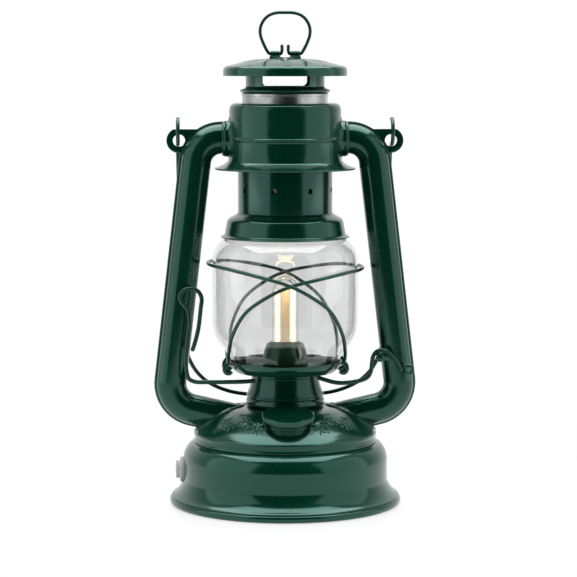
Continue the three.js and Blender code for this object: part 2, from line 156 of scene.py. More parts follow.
def swept(path, section, up=None, cap_radius=0.0):
    """Sweeps a closed section of (a, b) offsets along a path; section may be a function of 0..1."""
    count = len(path)
    tangents = []
    for i in range(count):
        tangents.append((path[min(i + 1, count - 1)] - path[max(i - 1, 0)]).normalized())
    side = (up or Vector((0.31, 0.2, 0.93))).cross(tangents[0]).normalized()
    rings = []
    for i, (point, tangent) in enumerate(zip(path, tangents)):
        if up is not None:
            side = up.cross(tangent).normalized()
        else:
            side = (side - tangent * side.dot(tangent)).normalized()
        rings.append((point, tangent, side, tangent.cross(side), i / (count - 1)))
    if cap_radius:
        first, last = rings[0], rings[-1]
        ends = [(cap_radius * k, math.sqrt(1 - k * k)) for k in (0.97, 0.8, 0.45)]
        front = [(first[0] - first[1] * reach, *first[1:], shrink) for reach, shrink in ends]
        back = [(last[0] + last[1] * reach, *last[1:], shrink) for reach, shrink in reversed(ends)]
        rings = front + [(*ring, 1.0) for ring in rings] + back
    else:
        rings = [(*ring, 1.0) for ring in rings]
    verts, faces = [], []
    for point, _, across, other, t, shrink in rings:
        outline = section(t) if callable(section) else section
        for a, b in outline:
            verts.append(point + (across * a + other * b) * shrink)
    size = len(outline)
    for i in range(len(rings) - 1):
        for k in range(size):
            m = (k + 1) % size
            faces.append((i * size + k, i * size + m, (i + 1) * size + m, (i + 1) * size + k))
    faces.append(tuple(range(size))[::-1])
    faces.append(tuple(range((len(rings) - 1) * size, len(rings) * size)))
    return verts, faces


def circle(radius, sides=16):
    """A round section for swept()."""
    return [(radius * math.cos(2 * math.pi * i / sides), radius * math.sin(2 * math.pi * i / sides))
            for i in range(sides)]


def joined(*shapes):
    """Several shapes as one."""
    verts, faces = [], []
    for more_verts, more_faces in shapes:
        start = len(verts)
        verts += [Vector(v) for v in more_verts]
        faces += [tuple(start + i for i in face) for face in more_faces]
    return verts, faces


def moved(shape, matrix):
    return [matrix @ Vector(v) for v in shape[0]], shape[1]


def mirror_x(shape):
    return [(-v[0], v[1], v[2]) for v in shape[0]], shape[1]


def block(x0, x1, y0, y1, z0, z1, bevel=0.3):
    """A box with bevelled edges."""
    work = bmesh.new()
    bmesh.ops.create_cube(work, size=1.0)
    for vert in work.verts:
        vert.co = Vector(((x0 + x1) / 2 + vert.co.x * (x1 - x0), (y0 + y1) / 2 + vert.co.y * (y1 - y0),
                          (z0 + z1) / 2 + vert.co.z * (z1 - z0)))
    bmesh.ops.bevel(work, geom=list(work.edges), offset=bevel, segments=3, profile=0.5, affect="EDGES")
    work.verts.ensure_lookup_table()
    verts = [v.co.copy() for v in work.verts]
    faces = [tuple(v.index for v in f.verts) for f in work.faces]
    work.free()
    return verts, faces


def cut(piece, cutters):
    """Cuts holes with closed shapes in millimetres."""
    mesh = metre_mesh("cutter", *joined(*cutters))
    cutter = bpy.data.objects.new("cutter", mesh)
    bpy.context.scene.collection.objects.link(cutter)
    modifier = piece.modifiers.new("holes", "BOOLEAN")
    modifier.operation = "DIFFERENCE"
    modifier.solver = "EXACT"
    modifier.object = cutter
    bpy.context.view_layer.update()
    result = bpy.data.meshes.new_from_object(piece.evaluated_get(bpy.context.evaluated_depsgraph_get()))
    piece.modifiers.clear()
    piece.data = result
    result.shade_smooth()
    result.set_sharp_from_angle(angle=math.radians(SHARP_ANGLE))
    bpy.data.objects.remove(cutter)
    bpy.data.meshes.remove(mesh)


# ---------------------------------------------------------------- materials
def new_material(name):
    """A material with its tree, shader and object coordinates in metres."""
    material = bpy.data.materials.new(name)
    material.use_nodes = True
    tree = material.node_tree
    shader = tree.nodes["Principled BSDF"]
    coords = tree.nodes.new("ShaderNodeTexCoord")
    return material, tree, shader, coords.outputs["Object"]


def add_node(tree, kind, **values):
    """A new node; an input's name is written with underscores for its spaces."""
    node = tree.nodes.new(kind)
    for name, value in values.items():
        node.inputs[name.replace("_", " ")].default_value = value
    return node


def noise(tree, coords, scale, detail=3.0):
    node = add_node(tree, "ShaderNodeTexNoise", Scale=scale, Detail=detail, Roughness=0.5)
    tree.links.new(coords, node.inputs["Vector"])
    return node.outputs["Fac"]


def ramp(tree, factor, stops):
    """A colour ramp over (position, colour) stops."""
    node = tree.nodes.new("ShaderNodeValToRGB")
    elements = node.color_ramp.elements
    elements[0].position, elements[0].color = stops[0][0], (*stops[0][1], 1)
    elements[1].position, elements[1].color = stops[1][0], (*stops[1][1], 1)
    for position, colour in stops[2:]:
        element = elements.new(position)
        element.color = (*colour, 1)
    tree.links.new(factor, node.inputs["Fac"])
    return node.outputs["Color"]


def span(tree, factor, low, high):
    """Maps 0..1 to low..high."""
    node = add_node(tree, "ShaderNodeMapRange", To_Min=low, To_Max=high)
    tree.links.new(factor, node.inputs["Value"])
    return node.outputs["Result"]


def bump(tree, shader, heights):
    """Stacks bumps given as (height, strength, distance in metres)."""
    normal = None
    for height, strength, distance in heights:
        node = add_node(tree, "ShaderNodeBump", Strength=strength, Distance=distance)
        tree.links.new(height, node.inputs["Height"])
        if normal is not None:
            tree.links.new(normal, node.inputs["Normal"])
        normal = node.outputs["Normal"]
    tree.links.new(normal, shader.inputs["Normal"])


def mixed(tree, factor, first, second):
    node = tree.nodes.new("ShaderNodeMix")
    node.data_type = "RGBA"
    tree.links.new(factor, node.inputs[0])
    for socket, value in ((node.inputs[6], first), (node.inputs[7], second)):
        if isinstance(value, tuple):
            socket.default_value = (*value, 1)
        else:
            tree.links.new(value, socket)
    return node.outputs[2]


def paint(name, deep, lit, roughness=0.16, peel=0.12, edge_highlight=0.5):
    """Stoved enamel: two close tones, orange peel, faint press ripple and a painted highlight on sharp edges.
    """
    material, tree, shader, coords = new_material(name)
    tone = ramp(tree, noise(tree, coords, 22, 4), [(0.35, deep), (0.7, lit)])
    geometry = tree.nodes.new("ShaderNodeNewGeometry")
    # painted highlight: sharp convex edges (high pointiness) are mixed towards a lighter green, as if they
    # catch the light
    edges = ramp(tree, geometry.outputs["Pointiness"], [(0.53, (0, 0, 0)), (0.62, (edge_highlight, edge_highlight, edge_highlight))])
    specks = ramp(tree, noise(tree, coords, 900, 2), [(0.62, (0, 0, 0)), (0.72, (0.35, 0.35, 0.35))])
    edge_highlight_colour = tuple(min(1.0, c * 1.9 + 0.015) for c in lit)
    colour = mixed(tree, edges, tone, edge_highlight_colour)
    dust = mixed(tree, specks, colour, tuple(min(1.0, c * 1.35 + 0.01) for c in lit))
    tree.links.new(dust, shader.inputs["Base Color"])
    tree.links.new(span(tree, noise(tree, coords, 60, 5), roughness - 0.05, roughness + 0.08),
                   shader.inputs["Roughness"])
    shader.inputs["Coat Weight"].default_value = 0.1
    shader.inputs["Coat Roughness"].default_value = 0.06
    shader.inputs["Specular IOR Level"].default_value = 0.72
    shader.inputs["Specular Tint"].default_value = (0.46, 1.0, 0.84, 1)
    bump(tree, shader, [(noise(tree, coords, 420, 2), peel, 0.00006),
                        (noise(tree, coords, 34, 2), 0.22, 0.0003)])
    return material


def metal(name, colour, roughness=0.3, spangle=0.0, bands=False):
    """Bare metal, with zinc spangle or fine drawn bands."""
    material, tree, shader, coords = new_material(name)
    shader.inputs["Metallic"].default_value = 1.0
    cells = add_node(tree, "ShaderNodeTexVoronoi", Scale=160)
    tree.links.new(coords, cells.inputs["Vector"])
    low = tuple(c * (1 - 0.25 * spangle - 0.08) for c in colour)
    tree.links.new(ramp(tree, cells.outputs["Color"] if spangle else noise(tree, coords, 80),
                        [(0.2, low), (0.8, colour)]), shader.inputs["Base Color"])
    tree.links.new(span(tree, noise(tree, coords, 150, 4), roughness - 0.08, roughness + 0.12),
                   shader.inputs["Roughness"])
    grain = add_node(tree, "ShaderNodeMapping", Scale=(1, 1, 14) if bands else (1, 1, 1))
    tree.links.new(coords, grain.inputs["Vector"])
    bump(tree, shader, [(noise(tree, grain.outputs["Vector"], 500, 3), 0.12, 0.00005)])
    return material


def moulded(name, colour, roughness=0.5, grain=900):
    """Moulded plastic or rubber with a fine grain."""
    material, tree, shader, coords = new_material(name)
    tree.links.new(ramp(tree, noise(tree, coords, 90, 4),
                        [(0.3, tuple(c * 0.82 for c in colour)), (0.7, colour)]),
                   shader.inputs["Base Color"])
    tree.links.new(span(tree, noise(tree, coords, 240), roughness - 0.06, roughness + 0.1),
                   shader.inputs["Roughness"])
    bump(tree, shader, [(noise(tree, coords, grain, 2), 0.15, 0.00006)])
    return material


def clear_glass(name, tint, wave=0.05):
    """Blown glass, slightly wavy."""
    material, tree, shader, coords = new_material(name)
    shader.inputs["Base Color"].default_value = (*tint, 1)
    shader.inputs["Transmission Weight"].default_value = 1.0
    shader.inputs["IOR"].default_value = 1.47
    tree.links.new(span(tree, noise(tree, coords, 70, 3), 0.0, 0.025), shader.inputs["Roughness"])
    bump(tree, shader, [(noise(tree, coords, 26, 1), wave, 0.0004)])
    return material


def glowing(name, colour, strength, body_colour):
    """A lit part with a matt body colour under its glow."""
    material, tree, shader, coords = new_material(name)
    tree.links.new(ramp(tree, noise(tree, coords, 300), [(0.3, tuple(c * 0.9 for c in body_colour)),
                                                       (0.7, body_colour)]), shader.inputs["Base Color"])
    shader.inputs["Emission Color"].default_value = (*colour, 1)
    shader.inputs["Emission Strength"].default_value = strength
    shader.inputs["Roughness"].default_value = 0.4
    bump(tree, shader, [(noise(tree, coords, 700), 0.1, 0.00005)])
    return material


GREEN = paint("green_enamel", (0.0004, 0.026, 0.0135), (0.0009, 0.036, 0.0190))
DARK_GREEN = paint("dark_enamel", (0.008, 0.030, 0.018), (0.012, 0.042, 0.026), roughness=0.26)
WIRE = paint("dark_wire", (0.002, 0.020, 0.012), (0.003, 0.028, 0.018), roughness=0.24, peel=0.2)
ZINC = metal("galvanised_steel", (0.60, 0.62, 0.61), 0.3, spangle=1.0)
STEEL = metal("plain_steel", (0.50, 0.51, 0.51), 0.34, bands=True)
SILVER = moulded("silver_plastic", (0.56, 0.56, 0.57), 0.34)
BLACK = moulded("dark_plastic", (0.018, 0.019, 0.021), 0.55)
SEAL = moulded("rubber_seal", (0.014, 0.014, 0.014), 0.8)
SLEEVE = moulded("cell_sleeve", (0.05, 0.14, 0.32), 0.35)
LAMINATE = moulded("circuit_laminate", (0.02, 0.14, 0.06), 0.45)
GLASS = clear_glass("clear_glass", (0.835, 0.84, 0.838))
LAMP_GLASS = clear_glass("lamp_glass", (0.99, 0.985, 0.97), 0.02)
# painted glow: the ceramic filament carrier gets a warm emission, as if lit by the filament strips, though it
# is no lamp
CERAMIC_PAINTED_GLOW = glowing("filament_ceramic", (0.95, 0.72, 0.45), 0.62, (0.30, 0.25, 0.18))
GLOW = glowing("filament_glow", (1.0, 0.90, 0.66), 1.7, (0.5, 0.42, 0.3))
SLOT_MATERIAL = {
    "green_enamel": GREEN, "dark_enamel": DARK_GREEN, "dark_wire": WIRE, "galvanised_steel": ZINC,
    "plain_steel": STEEL, "dark_plastic": BLACK, "silver_plastic": SILVER, "rubber_seal": SEAL,
    "cell_sleeve": SLEEVE, "circuit_laminate": LAMINATE, "clear_glass": GLASS,
    "filament_ceramic": CERAMIC_PAINTED_GLOW, "filament_glow": GLOW,
}
for part in frame["record"]["subparts"]:
    carried = NODES[part["node"]]
    carried.data.materials.clear()
    carried.data.materials.append(SLOT_MATERIAL[part["material_slot"]])


# ---------------------------------------------------------------- base and tank
def lathe_piece(name, outline, body="frame", slot="green_enamel", replaces=(), radius=0.5, facets=160,
                shape=None, material=None):
    """Makes one piece by turning a closed outline about the lantern's axis."""
    points = softened(outline, radius, True) if radius else outline
    return build(name, *turned(points, True, facets, shape), body, slot, replaces, material=material)


FOOT_R, BAND_R = 69.35, 61.3
BUTTON_X, BUTTON_Z = -61.1, 20
SHEET = 0.8

foot = [(66.9, 0.05), (68.6, 0.3), (FOOT_R, 1.5), (FOOT_R, 3.0), (68.7, 4.1), (67.4, 4.45), (64.2, 4.3),
        (64.0, 0.4)]
lathe_piece("foot_bead", foot, replaces=("foot_rim",), radius=0.9)
pan = [(68.4, 4.7), (67.8, 5.4), (66.2, 6.4), (64.4, 8.2), (62.8, 10.6), (61.8, 12.9), (61.35, 14.6),
       (BAND_R, 18), (BAND_R, 27.2), (61.15, 28.4), (60.7, 30.4), (59.9, 32.4), (58.7, 34.3),
       (57.2, 35.8), (55.6, 36.8), (54.0, 37.1)]
tank = lathe_piece("tank_shell", wall(pan, SHEET), replaces=("tank_body",), radius=1.6, facets=192)
SIDEWAYS = Matrix.Rotation(math.radians(90), 4, "Y")


def along_x(outline, x, z, closed=False, facets=48):
    """Turns an outline of (r, distance) about an axis along -X from the given point."""
    matrix = Matrix.Translation((x, 0, z)) @ Matrix.Rotation(math.radians(-90), 4, "Y")
    return moved(turned(outline, closed, facets), matrix)


cut(tank, [along_x([(0, -6), (7.0, -6), (7.0, 8), (0, 8)], -60, BUTTON_Z)])
seam = [(53.2, 37.2), (54.2, 37.0), (54.75, 37.6), (54.75, 38.2), (54.35, 38.9), (54.3, 41.0),
        (54.75, 41.9), (54.75, 42.7), (54.3, 43.4), (53.4, 43.6)]
lathe_piece("seam_roll", seam, replaces=("seam_band",), radius=0.5)


def dome_height(r):
    """Height of the tank's dome at a radius."""
    stops = [(54.2, 43.6), (50, 47.2), (45, 51), (39.5, 54.4), (34, 56.7), (27.5, 58.2), (20.5, 58.8)]
    for (r0, z0), (r1, z1) in zip(stops, stops[1:]):
        if r >= r1:
            return z0 + (z1 - z0) * (r0 - min(r, r0)) / (r0 - r1)
    return stops[-1][1]


dome = [(54.3, 43.3), (53.0, 44.6), (50, 47.3), (45, 51), (39.5, 54.4), (34, 56.8), (30.5, 57.7),
        (27.5, 58.2), (20.5, 58.8)]
top = lathe_piece("tank_dome", wall(dome, SHEET), replaces=("tank_top",), radius=2.4, facets=192)
NECK = Matrix.Translation((0, -39.8, 59.4)) @ Matrix.Rotation(math.radians(11), 4, "X")
cut(top, [moved(turned([(0, -28), (12.2, -28), (12.2, 4), (0, 4)], False, 64), NECK)])


def on_dome(angle, r, lift):
    """A point over the dome at an angle in degrees."""
    a = math.radians(angle)
    return Vector((r * math.cos(a), r * math.sin(a), dome_height(r) + lift))


LEAF_LENGTH, LEAF_WIDTH, LEAF_RISE = 3.6, 0.75, 0.62
LEAF_SIDES = 10
VINE_R, VINE_SWING = 42.6, 3.4


def leaf(angle, r, heading):
    """A small pressed leaf lying on the dome."""
    path = []
    for k in range(8):
        along = LEAF_LENGTH * (k / 7 - 0.5)
        reach = r + along * math.sin(heading) + 0.5 * math.sin(math.pi * k / 7)
        path.append(on_dome(angle + math.degrees(along * math.cos(heading) / r), reach, -0.05))

    def section(t):
        swell = math.sin(math.pi * min(max(t, 0.04), 0.96))
        turns = [2 * math.pi * i / LEAF_SIDES for i in range(LEAF_SIDES)]
        return [(LEAF_WIDTH * swell ** 0.8 * math.cos(u),
                 LEAF_RISE * swell ** 0.6 * math.sin(u)) for u in turns]

    return swept(path, section, up=UP_Z)


def vine_reach(t):
    return VINE_R + VINE_SWING * math.sin(3 * math.pi * t)


def leaf_panel(middle):
    """A wavy vine with nine sprigs of five leaves, centred on an angle in degrees."""
    shapes = []
    for i in range(9):
        t = i / 8
        angle = middle - 19 + 38 * t
        for k in range(5):
            turn = 2 * math.pi * k / 5 + i * 0.7
            shapes.append(leaf(angle + 2.6 * math.cos(turn), vine_reach(t) + 2.3 * math.sin(turn), turn))
    vine = [on_dome(middle - 21 + 42 * k / 59, vine_reach(k / 59), 0.0) for k in range(60)]
    shapes.append(swept(vine, circle(0.42, 8), cap_radius=0.3))
    return joined(*shapes)


# leaf scrolls pressed into the dome on both sides of the filler and of the back
build("dome_relief", *joined(*[leaf_panel(middle) for middle in (-52, -128, 52, 128)]), "frame",
      "green_enamel")

# button on the left of the band
bezel = [(5.7, -3), (7.4, -3), (7.7, 0.9), (7.5, 1.9), (6.9, 2.35), (5.9, 2.2)]
build("button_ring", *along_x(softened(bezel, 0.4, True), BUTTON_X, BUTTON_Z, True), "frame",
      "silver_plastic",
      ("button_bezel",))
button = [(0, -2.4), (5.35, -2.4), (5.35, 3.9), (5.1, 4.5), (4.5, 4.85), (3.6, 4.7), (2.2, 4.45),
          (0, 4.4)]
build("button_cap", *along_x(softened(button, 0.3), BUTTON_X, BUTTON_Z), "push_button", "silver_plastic",
      ("push_button",))

# filler neck and knurled cap
neck = [(9.9, -15.4), (11.5, -15.4)]
RIB_ROOT, RIB_TIP, RIB_PITCH = 11.45, 12.0, 1.8
w = -13.4
while w < -4.2:
    neck += [(RIB_ROOT, w), (RIB_TIP, w + 0.35), (RIB_TIP, w + 0.85), (RIB_ROOT, w + 1.2)]
    w += RIB_PITCH
neck += [(11.5, -3.4), (11.5, -2.4), (9.9, -2.4)]
build("neck_thread", *moved(turned(softened(neck, 0.3, True), True, 96), NECK), "frame", "green_enamel",
      ("filler_neck",))


KNURLS = 54
KNURL_DEPTH = 0.32


def knurl(r, z, angle):
    """Fine ribs round the cap's rim."""
    grip = max(0.0, min(1.0, (r - 14.9) / 0.4)) * max(0.0, min(1.0, (-0.55 - z) / 0.3))
    return r - KNURL_DEPTH * grip * (0.5 + 0.5 * math.cos(KNURLS * angle)), z


def petals(r, z, angle):
    """Six shallow petals on the cap's top."""
    r, z = knurl(r, z, angle)
    if z > -0.4 and 4.5 < r < 12.2:
        z += 0.22 * math.sin(math.pi * (r - 4.5) / 7.7) * max(0.0, math.cos(6 * angle)) - 0.08
    return r, z


cap = [(12.75, -3.05), (15.1, -3.05), (15.4, -2.8), (15.4, -0.9), (15.2, -0.45), (14.4, -0.15),
       (13.4, -0.05), (13.0, -0.3), (12.6, -0.34), (11, -0.34), (9.5, -0.34), (8, -0.34), (6.5, -0.34),
       (5, -0.34), (4.2, -0.3), (3.8, -0.08), (3, -0.05), (0, -0.02)]
cap_under = [(0, -1.05), (12.6, -1.1)]
build("cap_knurled", *moved(turned(cap_under + softened(cap, 0.25), False, 8 * KNURLS, petals), NECK),
      "filler_cap", "green_enamel", ("filler_cap",))

# ---------------------------------------------------------------- burner and lamp
collar = [(21.0, 59.0), (22.4, 58.95), (23.2, 59.8), (23.45, 61.0), (23.3, 62.4), (22.7, 63.4),
          (22.3, 63.75), (21.0, 63.75)]
lathe_piece("collar_bead", collar, replaces=("burner_collar",), radius=0.6)
sleeve = [(23.05, 63.8), (23.0, 64.8), (22.4, 67), (21.6, 69.2), (20.9, 71.6), (20.3, 74.2),
          (19.9, 76.4), (19.8, 78)]
lathe_piece("sleeve_cone", wall(sleeve, 1.0), replaces=("burner_sleeve",), radius=1.0)
for number, r, z in ((1, 23.0, 65.1), (2, 19.9, 76.2)):
    bead = [(r - 0.5, z - 0.6), (r + 0.25, z - 0.35), (r + 0.25, z + 0.35), (r - 0.5, z + 0.6)]
    lathe_piece(f"sleeve_bead_{number}", bead, radius=0.3)
burner = [(13.2, 66), (13.2, 87.4), (13.1, 89), (12.8, 90.8), (12.1, 92.8), (11.1, 94.6), (9.8, 96.1),
          (8.4, 97.1)]
lathe_piece("burner_hood", wall(burner, SHEET), slot="dark_enamel", replaces=("burner_dome",),
            radius=0.8, facets=96)
CLIP_COLUMNS = 9
CLIP_START, CLIP_SPREAD = -56, 28
CLIP_THICKNESS = 0.35
clip_verts = []
clip_line = [(13.75, 88.6), (13.75, 90.4), (13.35, 92.4), (12.3, 94.5), (11.2, 95.7)]
for i in range(CLIP_COLUMNS):
    a = math.radians(CLIP_START + CLIP_SPREAD * i / (CLIP_COLUMNS - 1))
    for r, z in clip_line:
        clip_verts.append((r * math.cos(a), r * math.sin(a), z))
    for r, z in reversed(clip_line):
        outer = r + CLIP_THICKNESS
        clip_verts.append((outer * math.cos(a), outer * math.sin(a), z + 0.1))
rows = 2 * len(clip_line)
clip_faces = grid_faces(CLIP_COLUMNS, rows, all_round=False)
clip_faces += [tuple(range(rows)), tuple(range((CLIP_COLUMNS - 1) * rows, CLIP_COLUMNS * rows))[::-1]]
build("burner_clip", clip_verts, clip_faces, "frame", "galvanised_steel", ("dome_clip",))

lamp = [(8.0, 92), (8.0, 126), (7.9, 128.5), (7.4, 131), (6.4, 133.2), (4.9, 135), (2.9, 136.2),
        (0.8, 136.8)]
lathe_piece("lamp_glass", wall(lamp, 0.7), material=LAMP_GLASS, slot="clear_glass", replaces=("lamp_tube",),
            radius=0.8, facets=64)
STRIP_X = 4.7
for name, side in (("left", -1), ("right", 1)):
    strip = block(side * STRIP_X - 1.45, side * STRIP_X + 1.45, -1.1, 1.1, 97.1, 127.9, 0.5)
    build(f"filament_strip_{name}", *strip, "frame", "filament_glow", (f"filament_{name}",))
carrier = [block(-2.6, 2.6, -0.7, 0.7, 96.8, 128.8, 0.3)]
for z in (103.5, 110.5, 117.5, 124.5):
    carrier.append(block(-6.2, 6.2, -0.35, 0.35, z, z + 0.7, 0.15))
build("filament_frame", *joined(*carrier), "frame", "filament_ceramic", ("filament_carrier",))

# ---------------------------------------------------------------- side tubes
HEEL, SHOULDER = 17.0, 16.0
SHOULDER_X, SHOULDER_Z = 38, 203.3
HEEL_EDGE_X, HEEL_EDGE_Z = 69.1, 74
BEND_STEPS, LEG_STEPS, FOOT_STEPS = 24, 40, 12
LEAN = math.atan2(14.8, 126)
SLOPE = math.radians(12.7)


def tube_centre():
    """The tube's centreline, from the drum over the shoulder, down the leg and round the heel to the tank."""
    points = [Vector((x, 0, SHOULDER_Z + SHOULDER)) for x in (34.4, 35.2, 36.0, 36.6, 37.3)]
    for i in range(BEND_STEPS + 1):
        a = math.pi / 2 + (LEAN - math.pi / 2) * i / BEND_STEPS
        points.append(Vector((SHOULDER_X + SHOULDER * math.cos(a), 0, SHOULDER_Z + SHOULDER * math.sin(a))))
    heel_x, heel_z = HEEL_EDGE_X - HEEL * math.cos(LEAN), HEEL_EDGE_Z - HEEL * math.sin(LEAN)
    start = points[-1].copy()
    end = Vector((heel_x + HEEL * math.cos(LEAN), 0, heel_z + HEEL * math.sin(LEAN)))
    points += [start.lerp(end, i / LEG_STEPS) for i in range(1, LEG_STEPS)]
    for i in range(BEND_STEPS + 1):
        a = LEAN + (-math.pi / 2 + SLOPE - LEAN) * i / BEND_STEPS
        points.append(Vector((heel_x + HEEL * math.cos(a), 0, heel_z + HEEL * math.sin(a))))
    last = points[-1].copy()
    for i in range(1, FOOT_STEPS + 1):
        points.append(last.lerp(Vector((26, 0, 48.5)), i / FOOT_STEPS))
    return points


CENTRE = tube_centre()
GROOVE_LOW, GROOVE_HIGH = 172, 207


def tube_section(t):
    """Pressed tube: an oval body with a folded seam along its outer edge and a crease on its inner face."""
    z = CENTRE[min(int(t * (len(CENTRE) - 1) + 0.5), len(CENTRE) - 1)].z
    groove = 0.0
    if GROOVE_LOW < z < GROOVE_HIGH:
        groove = 0.9 * math.sin(math.pi * (z - GROOVE_LOW) / (GROOVE_HIGH - GROOVE_LOW)) ** 2
    points = []
    for i in range(40):
        a = math.radians(14 + (360 - 28) * i / 39)
        u = -1 + 9.0 * math.copysign(abs(math.cos(a)) ** 0.92, math.cos(a))
        v = 8.8 * math.copysign(abs(math.sin(a)) ** 0.92, math.sin(a))
        near = sum(math.exp(-((math.degrees(a) % 360 - middle) / 10) ** 2) for middle in (138, 222))
        points.append((u * (1 - 0.09 * groove * near), v * (1 - 0.16 * groove * near)))
    edge = [(8.0, -0.9), (8.7, -0.8), (9.1, -0.55), (9.25, 0), (9.1, 0.55), (8.7, 0.8), (8.0, 0.9)]
    points += edge
    return [(-u, v) for u, v in points]


def side_tube(side):
    """One whole tube; the left one is the right one mirrored."""
    shape = swept(CENTRE, tube_section, up=UP_Y)
    return shape if side > 0 else mirror_x(shape)


EAR_X, EAR_Z = 63, 217.2
EAR_R, EAR_HOLE_R = 7.45, 3.6
EAR_THICKNESS = 1.5


def ear_plate():
    """Flat lug with a hole for the bail, run out of the tube's seam."""
    outline = [(50.5, 223.9), (58, 223.95), (62.5, 223.98)]
    for degrees in range(64, -101, -8):
        a = math.radians(degrees)
        outline.append((EAR_X + EAR_R * math.cos(a), EAR_Z + EAR_R * math.sin(a)))
    outline += [(62.6, 208.2), (63.2, 205.6), (62.8, 204.6), (60.0, 206.5), (57.5, 209), (54, 214),
                (50.5, 217.4)]
    hole = [(EAR_X + x, EAR_Z + z) for x, z in circle(EAR_HOLE_R, 32)]
    work = bmesh.new()
    loops = []
    for loop in (outline, hole):
        verts = [work.verts.new((x, 0.0, z)) for x, z in loop]
        loops.append([work.edges.new((verts[i], verts[(i + 1) % len(verts)])) for i in range(len(verts))])
    bmesh.ops.triangle_fill(work, use_beauty=True, edges=loops[0] + loops[1], normal=(0, 1, 0))
    faces = list(work.faces)
    back = bmesh.ops.extrude_face_region(work, geom=faces)
    for item in back["geom"]:
        if isinstance(item, bmesh.types.BMVert):
            item.co.y += EAR_THICKNESS
    for vert in work.verts:
        vert.co.y -= EAR_THICKNESS / 2
    bmesh.ops.recalc_face_normals(work, faces=work.faces)
    rim = [e for e in work.edges if len(e.link_faces) == 2 and e.calc_face_angle(0) > 1.2]
    bmesh.ops.bevel(work, geom=rim, offset=0.3, segments=2, profile=0.5, affect="EDGES")
    work.verts.index_update()
    verts = [v.co.copy() for v in work.verts]
    faces = [tuple(v.index for v in f.verts) for f in work.faces]
    work.free()
    return verts, faces


def ring_round_tube(index, grow, width, end=None):
    """A soldered collar round the tube at one place on its centreline."""
    at = CENTRE[index]
    ahead = (CENTRE[min(index + 1, len(CENTRE) - 1)] - CENTRE[max(index - 1, 0)]).normalized()
    path = [at + ahead * (width * k / 6 - width / 2) for k in range(7)]
    bulge = [0.0, 0.75, 0.95, 1.0, 0.95, 0.75, 0.0]

    def section(t):
        k = bulge[int(t * 6 + 0.5)]
        reach = grow * k
        return [(1 + (9.1 + reach) * math.cos(a), (8.9 + reach) * math.sin(a))
                for a in [2 * math.pi * i / 40 for i in range(40)]]

    return swept(path, section, up=UP_Y)


SADDLE_FACETS = 64
SADDLE_SECTION = ((0.0, 1.5), (0.25, 1.25), (0.6, 1.0), (0.92, 0.75), (1.0, 0.35), (1.0, 0.05), (0.0, 0.05))


def saddle():
    """The thin flange lying on the dome where the tube's foot meets it."""
    direction = (CENTRE[-1] - CENTRE[-8]).normalized()
    other = UP_Y.cross(direction).normalized()
    rings = []
    for reach in (0.1, 2.3):
        ring = []
        for i in range(SADDLE_FACETS):
            a = 2 * math.pi * i / SADDLE_FACETS
            offset = UP_Y * (8.8 + reach) * math.cos(a) + other * (9.1 + reach) * math.sin(a)
            low, high = -30.0, 6.0
            for _ in range(24):
                middle = (low + high) / 2
                spot = CENTRE[-1] + offset + direction * middle
                if spot.z > dome_height(math.hypot(spot.x, spot.y)):
                    low = middle
                else:
                    high = middle
            ring.append(CENTRE[-1] + offset + direction * low)
        rings.append(ring)
    rows = []
    for inside, outside in zip(*rings):
        across = outside - inside
        across = across.normalized() * min(across.length, 2.6)
        for t, lift in SADDLE_SECTION:
            spot = inside + across * t
            rows.append((spot.x, spot.y, dome_height(math.hypot(spot.x, spot.y)) + lift))
    return rows, grid_faces(SADDLE_FACETS, len(SADDLE_SECTION))


INLET_FACETS = 72
INLET_Z = 218.3


def inlet():
    """The flared mouth between the drum and the tube's collar."""
    rows = []
    profile = [(0.0, 9.6), (0.0, 10.5), (0.5, 10.75), (1.1, 10.6), (2.0, 10.7), (3.4, 11.1), (5.0, 11.8),
               (6.6, 12.6)]
    for i in range(INLET_FACETS):
        a = 2 * math.pi * i / INLET_FACETS
        for back, radius in profile:
            y, z = radius * math.sin(a), INLET_Z + radius * math.cos(a)
            on_drum = math.sqrt(33.5 ** 2 - y ** 2) + 0.2
            rows.append((max(36.3 - back, on_drum), y, z))
        for radius in (12.7, 9.4):
            y, z = radius * math.sin(a), INLET_Z + radius * math.cos(a)
            rows.append((math.sqrt(33.4 ** 2 - y ** 2) + 0.1, y, z))
    return rows, grid_faces(INLET_FACETS, len(profile) + 2)


for name, side in (("left", -1), ("right", 1)):
    turn = (lambda shape: shape) if side > 0 else mirror_x
    build(f"tube_{name}", *side_tube(side), "frame", "green_enamel", (f"side_tube_{name}",), sharp=50)
    build(f"ear_{name}", *turn(ear_plate()), "frame", "green_enamel", (f"bail_ear_{name}",))
    build(f"collar_{name}", *turn(ring_round_tube(3, 1.2, 2.2)), "frame", "green_enamel")
    build(f"inlet_{name}", *turn(inlet()), "frame", "green_enamel", (f"tube_collar_{name}",))
    build(f"saddle_{name}", *turn(saddle()), "frame", "green_enamel", (f"tube_saddle_{name}",))

# ---------------------------------------------------------------- crown
drum = [(34.0, 204.7), (33.6, 206.6), (33.3, 209), (33.3, 216.2), (33.5, 216.9), (34.05, 217.6),
        (34.05, 218.4), (33.5, 219.1), (33.3, 219.8), (33.3, 235.4), (33.0, 237.0), (32.2, 238.4),
        (30.8, 239.2), (29.4, 239.4), (26.0, 239.4)]
lathe_piece("crown_shell", wall(drum, SHEET), replaces=("crown_drum",), radius=0.9, facets=192)
skirt = [(42.0, 200.5), (41.2, 201.0), (39.0, 201.9), (36.6, 203.0), (35.0, 204.0), (34.2, 205.0)]
lathe_piece("crown_brim", wall(skirt, 0.6), replaces=("crown_skirt",), radius=0.8, facets=192)
lathe_piece("crown_brim_roll", [(41.3, 200.3), (42.0, 200.35), (42.0, 201.0), (41.3, 201.1)], radius=0.3,
            facets=192)
build("crown_lap_seam", *block(-2.6, 2.6, 32.9, 33.7, 220.4, 236.0, 0.25), "frame", "green_enamel")

# ---------------------------------------------------------------- chimney, vent and hood
THIN = 0.7
SLEEVE_R, FLUE_R, VENT_R = 28.1, 25.4, 23.4
HOLES, FIRST_HOLE = 8, 29

